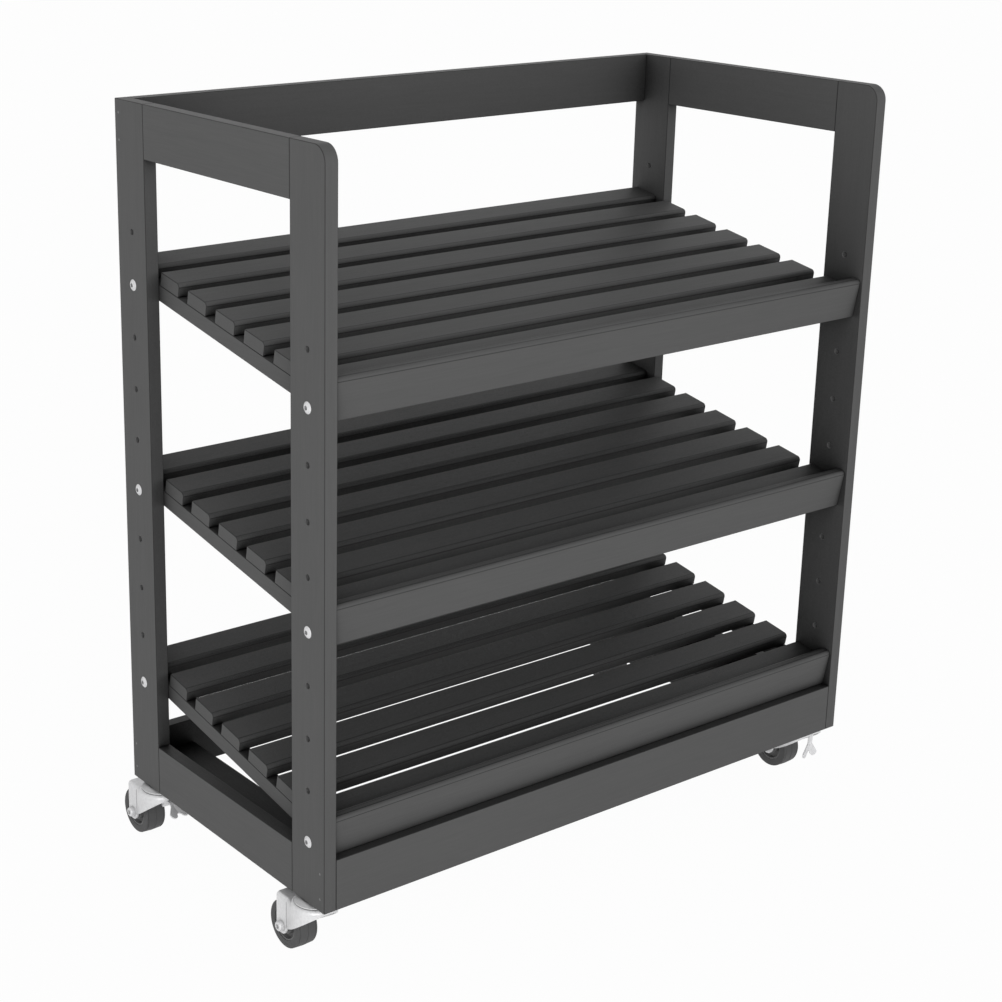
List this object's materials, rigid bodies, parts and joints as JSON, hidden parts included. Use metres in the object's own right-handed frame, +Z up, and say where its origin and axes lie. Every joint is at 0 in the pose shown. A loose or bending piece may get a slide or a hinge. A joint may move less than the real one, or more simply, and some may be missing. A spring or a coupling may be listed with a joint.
{
  "type": "mobile shelf rack",
  "caption": "Rack of painted timber end frames with sloping slatted shelves that have front lips, on swivel casters with a brake pedal on one diagonal.",
  "frame": {"origin": "on the floor, below the middle of the overall box", "axes": "+X to the right seen from the front, +Y to the back, +Z up; the shelves slope down to the front, -Y"},
  "size_m": [0.943, 0.4972, 1.0305],
  "materials": {
    "painted_timber": "satin dark grey paint",
    "bare_timber": "bare beech",
    "zinc_steel": "bright zinc plating",
    "wheel_plastic": "moulded matte",
    "tyre_rubber": "matte"
  },
  "bodies": {
    "rack": {"left_front_post": "painted_timber", "left_rear_post": "painted_timber", "left_top_rail": "painted_timber", "left_bottom_rail": "painted_timber", "left_caster_rail": "painted_timber", "right_front_post": "painted_timber", "right_rear_post": "painted_timber", "right_top_rail": "painted_timber", "right_bottom_rail": "painted_timber", "right_caster_rail": "painted_timber", "back_top_rail": "painted_timber", "back_bottom_rail": "painted_timber", "front_bottom_rail": "painted_timber", "bottom_left_runner": "painted_timber", "bottom_right_runner": "painted_timber", "bottom_slats": "painted_timber", "bottom_lip": "painted_timber", "middle_left_runner": "painted_timber", "middle_right_runner": "painted_timber", "middle_slats": "painted_timber", "middle_lip": "painted_timber", "top_left_runner": "painted_timber", "top_right_runner": "painted_timber", "top_slats": "painted_timber", "top_lip": "painted_timber", "frame_dowels": "bare_timber", "lip_dowels": "bare_timber", "rail_pins": "zinc_steel", "plate_screws": "zinc_steel", "insert_nuts": "zinc_steel", "bottom_shelf_bolts": "zinc_steel", "middle_shelf_bolts": "zinc_steel", "top_shelf_bolts": "zinc_steel", "caster_kingpins": "zinc_steel", "swivel_races": "zinc_steel", "front_left_plate": "zinc_steel", "front_right_plate": "zinc_steel", "rear_left_plate": "zinc_steel", "rear_right_plate": "zinc_steel"},
    "front_left_swivel": {"front_left_fork": "zinc_steel", "front_left_axle": "zinc_steel"},
    "front_left_wheel": {"front_left_wheel_core": "wheel_plastic", "front_left_tyre": "tyre_rubber"},
    "front_right_swivel": {"front_right_fork": "zinc_steel", "front_right_axle": "zinc_steel", "front_right_brake_leaf": "zinc_steel"},
    "front_right_wheel": {"front_right_wheel_core": "wheel_plastic", "front_right_tyre": "tyre_rubber"},
    "front_right_pedal": {"front_right_brake_pedal": "zinc_steel"},
    "rear_left_swivel": {"rear_left_fork": "zinc_steel", "rear_left_axle": "zinc_steel", "rear_left_brake_leaf": "zinc_steel"},
    "rear_left_wheel": {"rear_left_wheel_core": "wheel_plastic", "rear_left_tyre": "tyre_rubber"},
    "rear_left_pedal": {"rear_left_brake_pedal": "zinc_steel"},
    "rear_right_swivel": {"rear_right_fork": "zinc_steel", "rear_right_axle": "zinc_steel"},
    "rear_right_wheel": {"rear_right_wheel_core": "wheel_plastic", "rear_right_tyre": "tyre_rubber"}
  },
  "joints": [
    {"name": "front_left_swivel_turn", "type": "hinge", "parent": "rack", "child": "front_left_swivel", "pos_m": [-0.442, -0.20215, 0.0905], "axis": [0, 0, 1], "continuous": true},
    {"name": "front_left_wheel_spin", "type": "hinge", "parent": "front_left_swivel", "child": "front_left_wheel", "pos_m": [-0.442, -0.15685, 0.0325], "axis": [1, 0, 0], "continuous": true},
    {"name": "front_right_swivel_turn", "type": "hinge", "parent": "rack", "child": "front_right_swivel", "pos_m": [0.442, -0.20215, 0.0905], "axis": [0, 0, 1], "continuous": true},
    {"name": "front_right_wheel_spin", "type": "hinge", "parent": "front_right_swivel", "child": "front_right_wheel", "pos_m": [0.442, -0.15685, 0.0325], "axis": [1, 0, 0], "continuous": true},
    {"name": "front_right_pedal_press", "type": "hinge", "parent": "front_right_swivel", "child": "front_right_pedal", "pos_m": [0.442, -0.22115, 0.0735], "axis": [1, 0, 0], "range_deg": [-71, 0]},
    {"name": "rear_left_swivel_turn", "type": "hinge", "parent": "rack", "child": "rear_left_swivel", "pos_m": [-0.442, 0.17085, 0.0905], "axis": [0, 0, 1], "continuous": true},
    {"name": "rear_left_wheel_spin", "type": "hinge", "parent": "rear_left_swivel", "child": "rear_left_wheel", "pos_m": [-0.442, 0.21615, 0.0325], "axis": [1, 0, 0], "continuous": true},
    {"name": "rear_left_pedal_press", "type": "hinge", "parent": "rear_left_swivel", "child": "rear_left_pedal", "pos_m": [-0.442, 0.15185, 0.0735], "axis": [1, 0, 0], "range_deg": [0, 71]},
    {"name": "rear_right_swivel_turn", "type": "hinge", "parent": "rack", "child": "rear_right_swivel", "pos_m": [0.442, 0.17085, 0.0905], "axis": [0, 0, 1], "continuous": true},
    {"name": "rear_right_wheel_spin", "type": "hinge", "parent": "rear_right_swivel", "child": "rear_right_wheel", "pos_m": [0.442, 0.21615, 0.0325], "axis": [1, 0, 0], "continuous": true}
  ]
}
